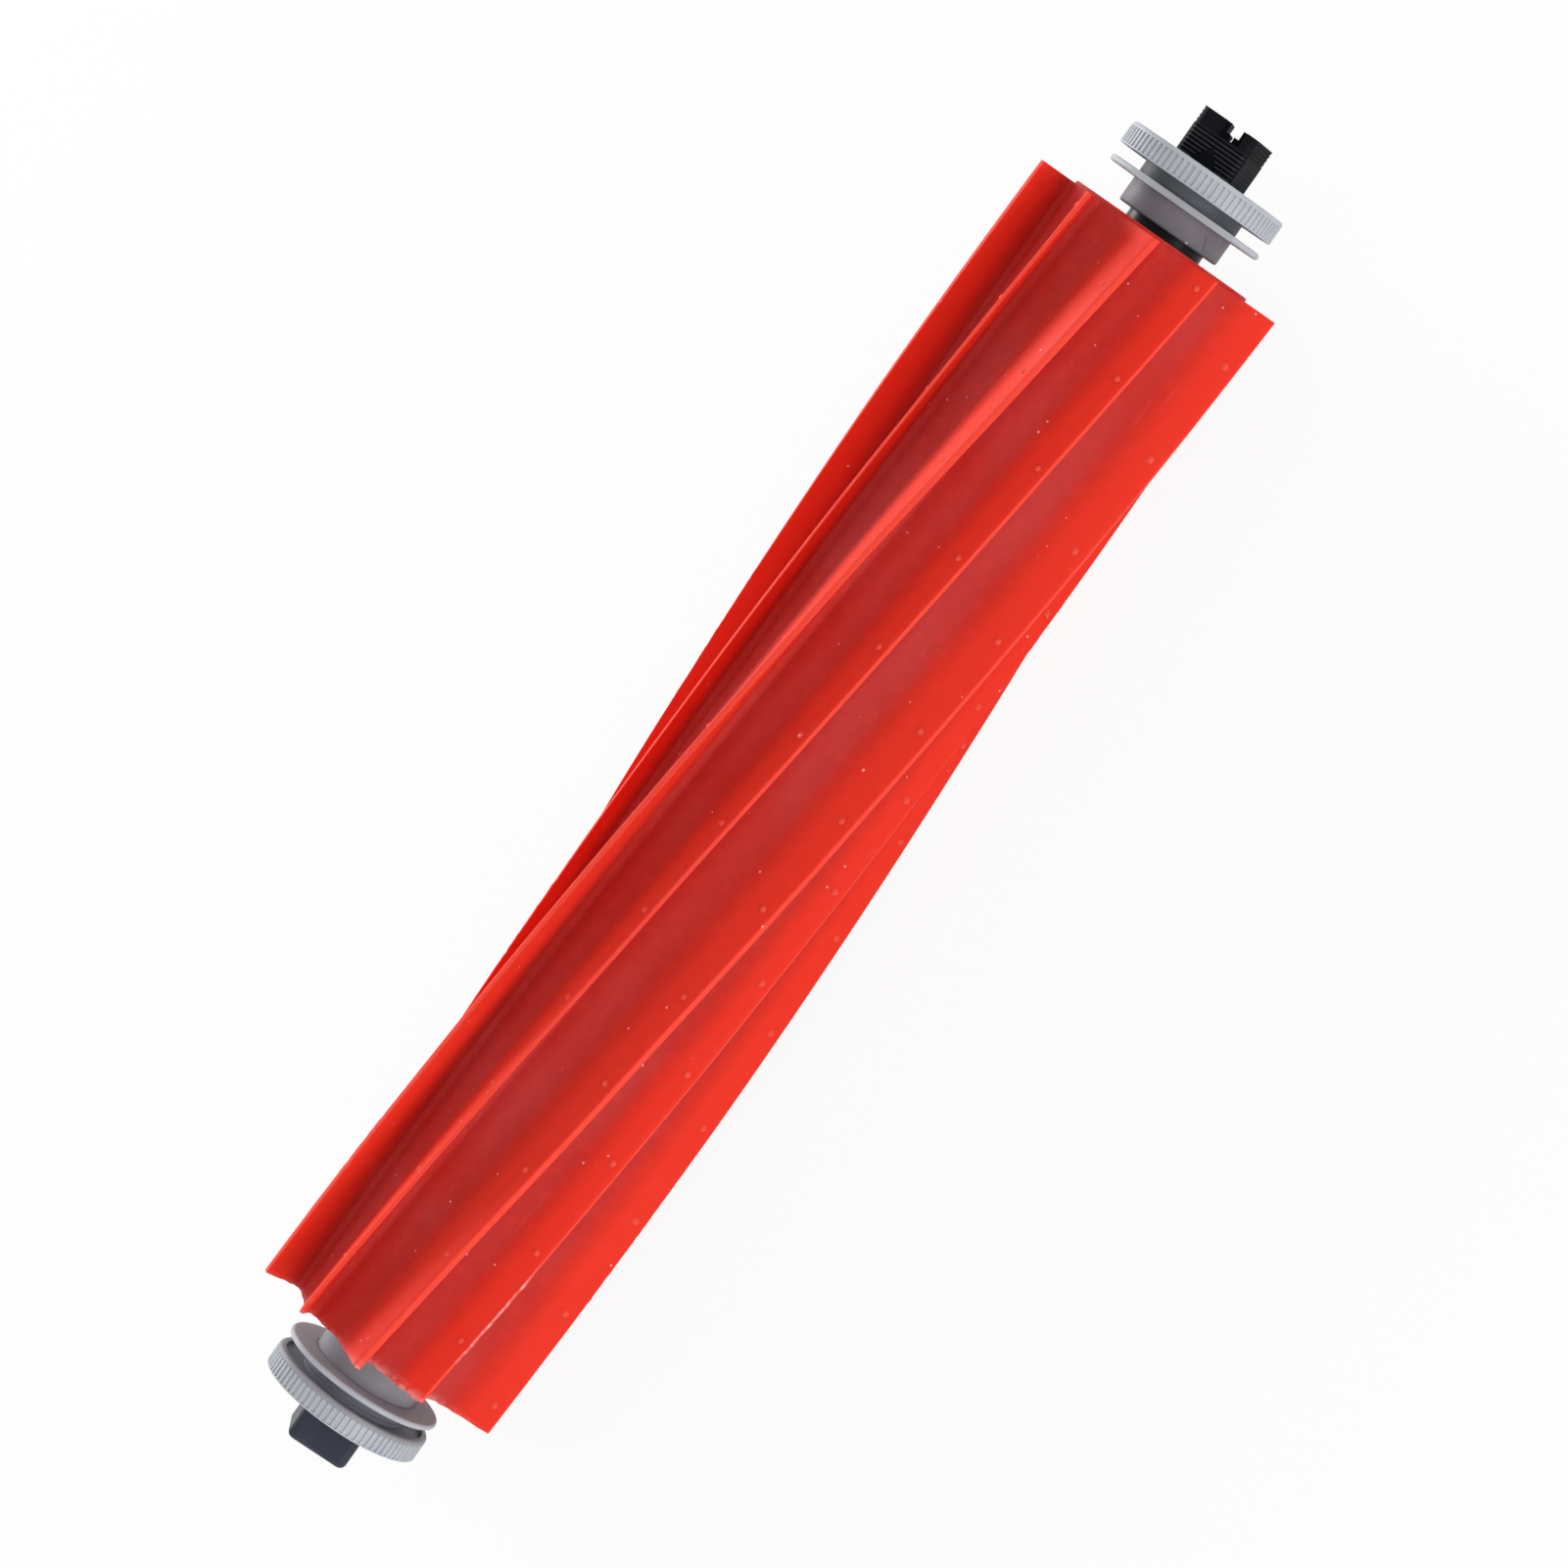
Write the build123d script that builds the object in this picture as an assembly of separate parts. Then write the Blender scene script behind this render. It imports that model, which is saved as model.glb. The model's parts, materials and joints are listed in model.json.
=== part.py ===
from build123d import *
from math import cos, radians, sin
import os

# Robot vacuum roller brush
# The brush turns about X. The drive end is at +X, and the origin is on the axis,
# halfway between the tip of the drive peg and the end of the idle plug.
# Angles are measured about X, from +Y towards +Z. All sizes are in millimetres.

# Rubber sleeve with helical fins
SLEEVE_LENGTH = 156.15
SLEEVE_BORE_RADIUS = 10.0
VALLEY_RADIUS = 11.8
TALL_FIN_RADIUS = 16.9
SHORT_FIN_RADIUS = 14.85
FIN_PAIRS = 5
FIN_TIP_WIDTH = 0.8
TWIST_ANGLE = 75.0
TALL_FIN_ANGLE = 90.1
SHORT_FIN_LEAD = 33.2
TALL_LEAN = 8.0
SHORT_LEAN = 5.0
REST_FLAT = 0.15
FIN_SETBACK = 0.4

# Root curve and leading flank of a fin
ROOT_FILLET = 0.7
ROOT_FILLET_ANGLE = 3.5
TALL_FLANK = ((-27.0, 0.02), (-14.2, 0.22), (-7.2, 0.6))
SHORT_FLANK = ((-22.0, 0.03), (-10.0, 0.42))

# Core inside the sleeve
CORE_WALL = 1.6
HUB_HEAD = 1.5
HUB_SPIGOT = 12.0
NECK_RADIUS = 5.0
IDLE_NECK_GAP = 0.95
DRIVE_NECK_GAP = 1.0

# Twist lock between a journal and the socket in its hub
TAIL_RADIUS = 3.0
TAIL_LENGTH = 9.5
SOCKET_FLOOR_GAP = 0.2
LUG_RADIUS = 3.9
LUG_WIDTH = 1.2
LUG_INSET = 2.0
LUG_ANGLE = 36.0
LUG_GAP = 0.1

# Spool at each end: hub, flange, groove and knurled wheel in one moulding
SPOOL_HUB_LENGTH = 3.1
SPOOL_HUB_RADIUS = 6.65
FLANGE_THICKNESS = 0.75
FLANGE_RADIUS = 10.15
FLANGE_FLAT = 7.4
FLANGE_FLAT_ANGLE = 125.8
GROOVE_WIDTH = 1.55
GROOVE_RADIUS = 6.6
WHEEL_WIDTH = 2.85
WHEEL_RADIUS = 10.3
WHEEL_LIP = 0.8
WHEEL_CUP_DEPTH = 0.5
WHEEL_CUP_INNER_RADIUS = 6.8
EDGE_ROUND = 0.3

# Knurl on the wheel, between a wide and a narrow smooth band
RIB_COUNT = 80
RIB_HEIGHT = 0.16
RIB_FILL = 0.45
WIDE_BAND = 0.55
NARROW_BAND = 0.2
BAND_ROUND = 0.7

# Raised triangle on the drive end's hub
MARK_ANGLE = 172.3
MARK_LENGTH = 1.8
MARK_WIDTH = 1.9
MARK_HEIGHT = 0.08
MARK_START = 0.4

# Ball bearing in each spool
BEARING_BORE_RADIUS = 4.0
BEARING_OUTER_RADIUS = 6.0
BEARING_WIDTH = 3.5
RING_WALL = 0.6
BALL_RADIUS = 0.6
BALL_COUNT = 11
CAGE_THICKNESS = 0.4
CAGE_WIDTH = 1.8
SHIELD_THICKNESS = 0.2
SHIELD_INSET = 0.1
BEARING_PLAY = 0.05

# Pieces beside the bearing
FRONT_WALL = 0.8
SEAL_WIDTH = 0.7
CLIP_THICKNESS = 0.5
CLIP_DEPTH = 0.35
CLIP_BAND = 0.9
CLIP_OPENING = 40.0

# Drive peg
PEG_LENGTH = 5.9
PEG_FLATS = 7.7
PEG_CORNER_RADIUS = 5.0
PEG_ANGLE = 111.2
PEG_COLLAR_LENGTH = 0.6
PEG_DISC_SETBACK = 0.25
RIDGED_LENGTH = 3.8
RIDGE_COUNT = 8
RIDGE_DEPTH = 0.18
ARROW_LENGTH = 2.9
ARROW_WIDTH = 3.6
TOOTH_COUNT = 4
SLOT_TURN = 14.0
SLOT_WIDTH = 2.6
SLOT_DEPTH = 1.9
SLOT_LEDGE = 0.5
SLIT_WIDTH = 0.5
LEDGE_HEIGHT = 0.75

# Idle plug, journal, washer and screw
PLUG_LENGTH = 5.25
PLUG_FLATS = 7.9
PLUG_CORNER = 1.0
PLUG_END_ROUND = 0.8
PLUG_ANGLE = 135.3
PLUG_WALL = 0.9
PLUG_FLOOR = 0.65
NOTCH_WIDTH = 1.0
NOTCH_DEPTH = 0.5
NOTCH_LENGTH = 1.3
WASHER_THICKNESS = 0.5
WASHER_RADIUS = 4.6
SCREW_RADIUS = 1.2
SCREW_LENGTH = 8.0
SCREW_HEAD_RADIUS = 2.6
SCREW_HEAD_HEIGHT = 1.3
CROSS_WIDTH = 0.6
CROSS_DEPTH = 0.7

# Clearances: pieces fixed together, pieces that turn, and pieces that only pass
FIT_GAP = 0.02
RUN_GAP = 0.05
NECK_GAP = 0.1
FACE_GAP = 0.1

# Stations along the axis
SPOOL_LENGTH = SPOOL_HUB_LENGTH + FLANGE_THICKNESS + GROOVE_WIDTH + WHEEL_WIDTH
IDLE_REACH = PLUG_LENGTH + SPOOL_LENGTH + IDLE_NECK_GAP
DRIVE_REACH = DRIVE_NECK_GAP + SPOOL_LENGTH + PEG_LENGTH
OVERALL_LENGTH = IDLE_REACH + SLEEVE_LENGTH + DRIVE_REACH
SLEEVE_START = -OVERALL_LENGTH / 2 + IDLE_REACH
SLEEVE_END = SLEEVE_START + SLEEVE_LENGTH
IDLE_SPOOL_FACE = SLEEVE_START - IDLE_NECK_GAP
DRIVE_SPOOL_FACE = SLEEVE_END + DRIVE_NECK_GAP

# Depths inside a spool, from its hub face towards its outer face
SEAL_START = FRONT_WALL
BEARING_START = SEAL_START + SEAL_WIDTH
BEARING_END = BEARING_START + BEARING_WIDTH
CLIP_END = BEARING_END + CLIP_THICKNESS
WHEEL_START = SPOOL_LENGTH - WHEEL_WIDTH
GROOVE_START = WHEEL_START - GROOVE_WIDTH

# Radii inside a bearing
PITCH_RADIUS = (BEARING_BORE_RADIUS + BEARING_OUTER_RADIUS) / 2
INNER_RING_RADIUS = BEARING_BORE_RADIUS + RING_WALL
OUTER_RING_RADIUS = BEARING_OUTER_RADIUS - RING_WALL
CORE_RADIUS = SLEEVE_BORE_RADIUS - FIT_GAP
CORE_BORE_RADIUS = CORE_RADIUS - CORE_WALL


def polar(radius, angle):
    """A point of a cross-section, at this angle from +Y towards +Z."""
    return (radius * cos(radians(angle)), radius * sin(radians(angle)))


def at(x):
    """The plane across the axis at x, whose own x is +Y and own y is +Z."""
    return Plane((x, 0, 0), x_dir=(0, 1, 0), z_dir=(1, 0, 0))


def turned(points, rounds=()):
    """A solid turned about the axis from an outline of (x, radius) points.
    Each of rounds is (x, radius, fillet) and rounds the corner at that point."""
    outline = make_face(Polyline(*points, close=True))
    for x, radius, size in rounds:
        corner = outline.vertices().sort_by_distance((x, radius, 0))[0]
        outline = fillet(corner, size)
    return revolve(outline, Axis.X)


def ring(start, end, inner, outer):
    """A plain ring, or a plain disc where the inner radius is 0."""
    return turned([(start, inner), (end, inner), (end, outer), (start, outer)])


def sector(start, end, radius, angle, width):
    """A wedge about the axis, as wide as the angle given, for cutting and for lugs."""
    rim = [polar(radius, angle + width * step / 8) for step in range(-4, 5)]
    return extrude(at(start) * make_face(Polyline((0, 0), *rim, close=True)), end - start)


def mirrored_to_idle(shape):
    """A drive-side piece of depth x from the hub face, placed at the idle end."""
    return Pos(IDLE_SPOOL_FACE, 0, 0) * mirror(shape, about=Plane.YZ)


def placed_at_drive(shape):
    """A piece of depth x from the hub face, placed at the drive end."""
    return Pos(DRIVE_SPOOL_FACE, 0, 0) * shape


# Rubber sleeve
def fin_outline(tip_radius, tip_angle, flank, lean, last_root_angle):
    """The edges from the last fin's root, up this fin's flank, over its tip and down
    to its own root. A flank point is an angle from the tip and a share of the height."""
    height = tip_radius - VALLEY_RADIUS
    half_tip = FIN_TIP_WIDTH / 2 / tip_radius * 180 / 3.14159265
    valley = polar(VALLEY_RADIUS, last_root_angle + ROOT_FILLET_ANGLE)
    climb = [polar(VALLEY_RADIUS + share * height, tip_angle + step) for step, share in flank]
    front = polar(tip_radius, tip_angle - half_tip)
    back = polar(tip_radius, tip_angle + half_tip)
    root_angle = tip_angle - lean
    root = polar(VALLEY_RADIUS + ROOT_FILLET, root_angle)
    bend = polar(VALLEY_RADIUS + 0.22 * ROOT_FILLET, root_angle + 0.2 * ROOT_FILLET_ANGLE)
    floor = polar(VALLEY_RADIUS, root_angle + ROOT_FILLET_ANGLE)
    edges = [
        Spline(valley, *climb, front),
        Line(front, back),
        Line(back, root),
        ThreePointArc(root, bend, floor),
    ]
    return edges, root_angle


def sleeve_section():
    """The sleeve's cross-section at its middle: tall and short fins by turns."""
    edges = []
    pitch = 360 / FIN_PAIRS
    root_angle = TALL_FIN_ANGLE + SHORT_FIN_LEAD - pitch - SHORT_LEAN
    for pair in range(FIN_PAIRS):
        tall_angle = TALL_FIN_ANGLE + pair * pitch
        tall, root_angle = fin_outline(TALL_FIN_RADIUS, tall_angle, TALL_FLANK, TALL_LEAN, root_angle)
        short_angle = tall_angle + SHORT_FIN_LEAD
        short, root_angle = fin_outline(SHORT_FIN_RADIUS, short_angle, SHORT_FLANK, SHORT_LEAN, root_angle)
        edges += tall + short
    return make_face(edges)


def rubber_sleeve():
    """The section carried along the axis while it turns by the twist angle. The two tall
    fins it lies on are pressed flat at the bottom, as soft rubber is under a small weight.
    At the drive end the fins stop a little short of the tube they stand on."""
    start = at(SLEEVE_START) * (Rot(0, 0, -TWIST_ANGLE / 2) * sleeve_section())
    finned = Solid.extrude_linear_with_rotation(
        start.faces()[0].outer_wire(), (SLEEVE_START, 0, 0), (SLEEVE_LENGTH, 0, 0), TWIST_ANGLE
    )
    finned -= ring(SLEEVE_START - 1, SLEEVE_END + 1, 0, SLEEVE_BORE_RADIUS)
    finned -= ring(SLEEVE_END - FIN_SETBACK, SLEEVE_END + 1, VALLEY_RADIUS - 0.05, TALL_FIN_RADIUS + 1)
    underside = Box(OVERALL_LENGTH, TALL_FIN_RADIUS, 1, align=(Align.CENTER, Align.CENTER, Align.MAX))
    return finned - Pos(0, 0, REST_FLAT - TALL_FIN_RADIUS) * underside


# Core
def core_tube():
    """The stiff tube under the rubber, between the two hubs' heads."""
    return ring(SLEEVE_START + HUB_HEAD, SLEEVE_END - HUB_HEAD, CORE_BORE_RADIUS, CORE_RADIUS)


def end_hub(neck_gap):
    """A hub in depths from the spool's hub face: head, spigot in the tube, and neck.
    Its socket takes the journal's tail, with two entry slots and a lock groove."""
    head_face = -neck_gap
    spigot_end = head_face - HUB_HEAD - HUB_SPIGOT
    spigot_radius = CORE_BORE_RADIUS - FIT_GAP
    lug_end = BEARING_START - TAIL_LENGTH + LUG_INSET + LUG_WIDTH
    lug_start = lug_end - LUG_WIDTH
    groove_radius = LUG_RADIUS + LUG_GAP
    body = turned([
        (spigot_end, 0),
        (BEARING_START, 0),
        (BEARING_START, NECK_RADIUS),
        (head_face, NECK_RADIUS),
        (head_face, CORE_RADIUS),
        (head_face - HUB_HEAD, CORE_RADIUS),
        (head_face - HUB_HEAD, spigot_radius),
        (spigot_end, spigot_radius),
    ])
    socket_end = BEARING_START - TAIL_LENGTH - SOCKET_FLOOR_GAP
    body -= ring(socket_end, BEARING_START + 1, 0, TAIL_RADIUS + FIT_GAP)
    body -= ring(lug_start - LUG_GAP, lug_end + LUG_GAP, 0, groove_radius)
    for side in (90, 270):
        body -= sector(lug_start, BEARING_START + 1, groove_radius, side, LUG_ANGLE + 4)
    relief_start = spigot_end + 1.5
    body -= ring(spigot_end - 1, socket_end - 1.5, 0, spigot_radius - CORE_WALL)
    body -= ring(relief_start, relief_start + 1.0, spigot_radius - 0.3, spigot_radius + 1)
    return body


def journal_tail():
    """The tail with its two lugs, and the journal that the bearing's inner ring is on."""
    tail_start = BEARING_START - TAIL_LENGTH
    tail = ring(tail_start, BEARING_START, 0, TAIL_RADIUS)
    lug_start = tail_start + LUG_INSET
    for side in (0, 180):
        tail += sector(lug_start, lug_start + LUG_WIDTH, LUG_RADIUS, side, LUG_ANGLE)
    return tail + ring(BEARING_START, BEARING_END, 0, BEARING_BORE_RADIUS - FIT_GAP)


# Ball bearing, in depths from the spool's hub face
BALL_DEPTH = BEARING_START + BEARING_WIDTH / 2


def raceway():
    """The round groove that both rings have for the balls."""
    section = Pos(BALL_DEPTH, PITCH_RADIUS) * Circle(BALL_RADIUS + BEARING_PLAY)
    return revolve(section, Axis.X)


def inner_ring():
    return ring(BEARING_START, BEARING_END, BEARING_BORE_RADIUS, INNER_RING_RADIUS) - raceway()


def outer_ring():
    outer = BEARING_OUTER_RADIUS - FIT_GAP
    return ring(BEARING_START, BEARING_END, OUTER_RING_RADIUS, outer) - raceway()


def shield(at_depth):
    """A thin cover in the outer ring, clear of the inner ring."""
    inner = INNER_RING_RADIUS + BEARING_PLAY
    outer = OUTER_RING_RADIUS - FIT_GAP
    return ring(at_depth, at_depth + SHIELD_THICKNESS, inner, outer)


def ball_places():
    """The middle of each ball."""
    places = []
    for index in range(BALL_COUNT):
        y, z = polar(PITCH_RADIUS, index * 360 / BALL_COUNT)
        places.append(Pos(BALL_DEPTH, y, z))
    return places


def balls():
    return [place * Sphere(BALL_RADIUS) for place in ball_places()]


def ball_cage():
    """A ring with one round pocket for each ball."""
    start = BALL_DEPTH - CAGE_WIDTH / 2
    inner = PITCH_RADIUS - CAGE_THICKNESS / 2
    cage = ring(start, start + CAGE_WIDTH, inner, inner + CAGE_THICKNESS)
    for place in ball_places():
        cage -= place * Sphere(BALL_RADIUS + BEARING_PLAY / 2)
    return cage


# Spool and what sits beside its bearing, in depths from the hub face
def knurl(start, end):
    """Fine ribs along the wheel's rim, between these two depths."""
    base = WHEEL_RADIUS - RIB_HEIGHT
    pitch = 360 / RIB_COUNT
    half_top = pitch * RIB_FILL / 2
    half_foot = pitch * (1 - RIB_FILL) / 2 + half_top * 0.1
    points = []
    for index in range(RIB_COUNT):
        middle = index * pitch
        points.append(polar(base, middle - half_foot))
        points.append(polar(WHEEL_RADIUS, middle - half_top))
        points.append(polar(WHEEL_RADIUS, middle + half_top))
        points.append(polar(base, middle + half_foot))
    ribs = extrude(at(start) * make_face(Polyline(*points, close=True)), end - start)
    return ribs - ring(start - 1, end + 1, 0, base - WHEEL_LIP / 2)


def spool(roller_side_band, outer_side_band):
    """Hub, thin flange, groove and cupped wheel, with the bearing seat through it."""
    base = WHEEL_RADIUS - RIB_HEIGHT
    lip = WHEEL_RADIUS - WHEEL_LIP
    cup_end = WHEEL_START + WHEEL_CUP_DEPTH
    knurl_start = WHEEL_START + roller_side_band
    knurl_end = SPOOL_LENGTH - outer_side_band
    points = [
        (0, 0),
        (0, SPOOL_HUB_RADIUS),
        (SPOOL_HUB_LENGTH, SPOOL_HUB_RADIUS),
        (SPOOL_HUB_LENGTH, FLANGE_RADIUS),
        (GROOVE_START, FLANGE_RADIUS),
        (GROOVE_START, GROOVE_RADIUS),
        (WHEEL_START, GROOVE_RADIUS),
        (WHEEL_START, WHEEL_CUP_INNER_RADIUS),
        (cup_end, WHEEL_CUP_INNER_RADIUS),
        (cup_end, lip),
        (WHEEL_START, lip),
        (WHEEL_START, WHEEL_RADIUS),
        (knurl_start, WHEEL_RADIUS),
        (knurl_start, base),
        (knurl_end, base),
        (knurl_end, WHEEL_RADIUS),
        (SPOOL_LENGTH, WHEEL_RADIUS),
        (SPOOL_LENGTH, 0),
    ]
    rounds = [
        (0, SPOOL_HUB_RADIUS, EDGE_ROUND),
        (SPOOL_HUB_LENGTH, FLANGE_RADIUS, FLANGE_THICKNESS * 0.45),
        (GROOVE_START, FLANGE_RADIUS, FLANGE_THICKNESS * 0.45),
        (WHEEL_START, WHEEL_RADIUS, roller_side_band * BAND_ROUND),
        (SPOOL_LENGTH, WHEEL_RADIUS, outer_side_band * BAND_ROUND),
    ]
    body = turned(points, rounds) + knurl(knurl_start, knurl_end)
    body -= ring(-1, SPOOL_LENGTH + 1, 0, NECK_RADIUS + NECK_GAP)
    body -= ring(SEAL_START, SPOOL_LENGTH + 1, 0, BEARING_OUTER_RADIUS)
    body -= ring(BEARING_END, CLIP_END, 0, BEARING_OUTER_RADIUS + CLIP_DEPTH + FIT_GAP)
    return body


def flange_flat():
    """What the D-shaped flange lacks: all that is beyond its flat."""
    reach = 2 * FLANGE_RADIUS
    block = Box(FLANGE_THICKNESS, reach, reach, align=(Align.MIN, Align.MIN, Align.CENTER))
    placed = Pos(SPOOL_HUB_LENGTH, FLANGE_FLAT, 0) * block
    return Rot(FLANGE_FLAT_ANGLE, 0, 0) * placed


def hub_mark():
    """A raised triangle on the hub that points at the sleeve."""
    top = SPOOL_HUB_RADIUS + MARK_HEIGHT
    half = MARK_WIDTH / 2
    start = MARK_START
    outline = Polyline((start, 0), (start + MARK_LENGTH, -half), (start + MARK_LENGTH, half), close=True)
    block = extrude(Pos(0, 0, SPOOL_HUB_RADIUS - 1) * make_face(outline), 2)
    upright = Rot(MARK_ANGLE - 90, 0, 0) * block
    return upright & ring(start, start + MARK_LENGTH, SPOOL_HUB_RADIUS - 0.5, top)


def hair_seal():
    """A felt ring between the neck and the spool, which keeps hair off the bearing."""
    return ring(SEAL_START, BEARING_START, NECK_RADIUS + RUN_GAP, BEARING_OUTER_RADIUS - FIT_GAP)


def bearing_clip():
    """A spring ring with one opening, in the spool's groove."""
    outer = BEARING_OUTER_RADIUS + CLIP_DEPTH
    clip = ring(BEARING_END, CLIP_END, outer - CLIP_BAND - CLIP_DEPTH, outer)
    return clip - sector(BEARING_END - 1, CLIP_END + 1, outer + 1, 270, CLIP_OPENING)


# Drive peg
def square_bar(start, end, flats, corner_radius):
    """A square bar along the axis with its corners turned down to a radius."""
    bar = Box(end - start, flats, flats, align=(Align.MIN, Align.CENTER, Align.CENTER))
    return (Pos(start, 0, 0) * bar) & ring(start, end, 0, corner_radius)


def drive_peg():
    """Tail, journal, collar and cover disc, then the ridged square peg with its end slot."""
    collar_end = BEARING_END + PEG_COLLAR_LENGTH
    disc_end = SPOOL_LENGTH - PEG_DISC_SETBACK
    ridged_end = SPOOL_LENGTH + RIDGED_LENGTH
    tip = SPOOL_LENGTH + PEG_LENGTH
    half = PEG_FLATS / 2
    low = PEG_FLATS - 2 * RIDGE_DEPTH
    peg = journal_tail()
    peg += ring(BEARING_END, collar_end, 0, INNER_RING_RADIUS)
    peg += ring(collar_end, disc_end, 0, BEARING_OUTER_RADIUS - NECK_GAP)

    # Ridges on the front and back of the first length
    pitch = (ridged_end - disc_end) / RIDGE_COUNT
    bar = square_bar(disc_end, ridged_end, PEG_FLATS, PEG_CORNER_RADIUS)
    for index in range(RIDGE_COUNT):
        groove = Pos(disc_end + (index + 0.25) * pitch, 0, 0)
        for side in (1, -1):
            cutter = Box(pitch * 0.5, PEG_FLATS, RIDGE_DEPTH, align=(Align.MIN, Align.CENTER, Align.CENTER))
            bar -= groove * Pos(0, 0, side * (half - RIDGE_DEPTH / 2)) * cutter

    # Smooth arrow between the ridges, pointing at the tip
    arrow_start = SPOOL_LENGTH - PEG_DISC_SETBACK
    arrow_end = arrow_start + ARROW_LENGTH
    wide = ARROW_WIDTH / 2
    outline = Polyline((arrow_start, -wide), (arrow_end, 0), (arrow_start, wide), close=True)
    bar += extrude(Pos(0, 0, half - RIDGE_DEPTH - 0.2) * make_face(outline), RIDGE_DEPTH + 0.2)

    # Teeth on the two other sides of the end length
    end_bar = square_bar(ridged_end, tip, PEG_FLATS, PEG_CORNER_RADIUS)
    tooth_pitch = (tip - ridged_end) / TOOTH_COUNT
    for index in range(TOOTH_COUNT):
        start = ridged_end + index * tooth_pitch
        notch = Polyline((start, half), (start + tooth_pitch, half), (start, half - RIDGE_DEPTH), close=True)
        cutter = extrude(Pos(0, 0, -half) * make_face(notch), PEG_FLATS)
        end_bar -= cutter
        end_bar -= mirror(cutter, about=Plane.XZ)

    # Slot across the tip, with two ledges and a narrow slit below them
    slot_start = tip - SLOT_DEPTH
    through = PEG_FLATS * 2
    anchor = (Align.MIN, Align.CENTER, Align.CENTER)
    slot = Pos(slot_start + LEDGE_HEIGHT, 0, 0) * Box(SLOT_DEPTH, SLOT_WIDTH - 2 * SLOT_LEDGE, through, align=anchor)
    slit = Pos(slot_start, 0, 0) * Box(SLOT_DEPTH, SLIT_WIDTH, through, align=anchor)
    pocket = Pos(slot_start, 0, half + PEG_CORNER_RADIUS - 1.2)
    pocket_box = Box(SLOT_DEPTH * 2, SLOT_WIDTH, 2 * PEG_CORNER_RADIUS, align=anchor)
    cut = slot + slit + pocket * pocket_box
    end_bar -= Rot(SLOT_TURN, 0, 0) * cut
    return peg + Rot(PEG_ANGLE - 90, 0, 0) * (bar + end_bar)


# Idle end
def idle_journal():
    """Tail and journal with the pilot hole for its screw."""
    return journal_tail() - ring(BEARING_END - SCREW_LENGTH, BEARING_END + 1, 0, SCREW_RADIUS + FIT_GAP)


def journal_washer():
    hole = SCREW_RADIUS + NECK_GAP
    return ring(BEARING_END, BEARING_END + WASHER_THICKNESS, hole, WASHER_RADIUS)


def journal_screw():
    """A pan-head screw with a cross recess, down the journal."""
    seat = BEARING_END + WASHER_THICKNESS
    top = seat + SCREW_HEAD_HEIGHT
    head = turned(
        [(seat, 0), (seat, SCREW_HEAD_RADIUS), (top, SCREW_HEAD_RADIUS), (top, 0)],
        [(top, SCREW_HEAD_RADIUS, SCREW_HEAD_HEIGHT * 0.6)],
    )
    shank = ring(BEARING_END - SCREW_LENGTH + SOCKET_FLOOR_GAP, seat, 0, SCREW_RADIUS)
    arm = Box(CROSS_DEPTH, CROSS_WIDTH, SCREW_HEAD_RADIUS, align=(Align.MAX, Align.CENTER, Align.CENTER))
    recess = Pos(top, 0, 0) * (arm + Rot(90, 0, 0) * arm)
    return head + shank - recess


def idle_end_plug():
    """A round spigot in the spool's outer face, and the rounded square block outside."""
    spigot_start = CLIP_END
    spigot_radius = BEARING_OUTER_RADIUS - FIT_GAP
    cavity_end = SPOOL_LENGTH - PLUG_FLOOR
    tip = SPOOL_LENGTH + PLUG_LENGTH
    spigot = ring(spigot_start, SPOOL_LENGTH, 0, spigot_radius)
    block = extrude(at(SPOOL_LENGTH) * RectangleRounded(PLUG_FLATS, PLUG_FLATS, PLUG_CORNER), PLUG_LENGTH)
    end_edges = block.faces().sort_by(Axis.X)[-1].edges()
    block = fillet(end_edges, PLUG_END_ROUND)
    notch = Box(NOTCH_LENGTH, NOTCH_DEPTH * 2, NOTCH_WIDTH, align=(Align.MIN, Align.CENTER, Align.CENTER))
    block -= Pos(SPOOL_LENGTH, PLUG_FLATS / 2, PLUG_FLATS / 4) * notch
    plug = spigot + Rot(PLUG_ANGLE - 90, 0, 0) * block
    plug -= ring(spigot_start - 1, cavity_end, 0, spigot_radius - PLUG_WALL)
    return plug - ring(cavity_end - 1, tip - 2 * PLUG_WALL, 0, PLUG_FLATS / 2 - PLUG_WALL)


def write(name, shape):
    """One STEP file for each sub-part, named after it."""
    if isinstance(shape, list):
        shape = Compound(children=[piece.solid() if not isinstance(piece, Solid) else piece for piece in shape])
    shape.label = name
    export_step(shape, f"parts/{name}.step")


os.makedirs("parts", exist_ok=True)

# Roller
write("rubber_sleeve", rubber_sleeve())
write("core_tube", core_tube())
write("drive_end_hub", placed_at_drive(end_hub(DRIVE_NECK_GAP)))
write("idle_end_hub", mirrored_to_idle(end_hub(IDLE_NECK_GAP)))
write("drive_peg", placed_at_drive(drive_peg()))
write("idle_journal", mirrored_to_idle(idle_journal()))
write("idle_journal_washer", mirrored_to_idle(journal_washer()))
write("idle_journal_screw", mirrored_to_idle(journal_screw()))

# Spools
drive_spool = spool(NARROW_BAND, WIDE_BAND) - flange_flat() + hub_mark()
write("drive_end_spool", placed_at_drive(drive_spool))
write("idle_end_spool", mirrored_to_idle(spool(WIDE_BAND, NARROW_BAND)))
write("idle_end_plug", mirrored_to_idle(idle_end_plug()))

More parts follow.
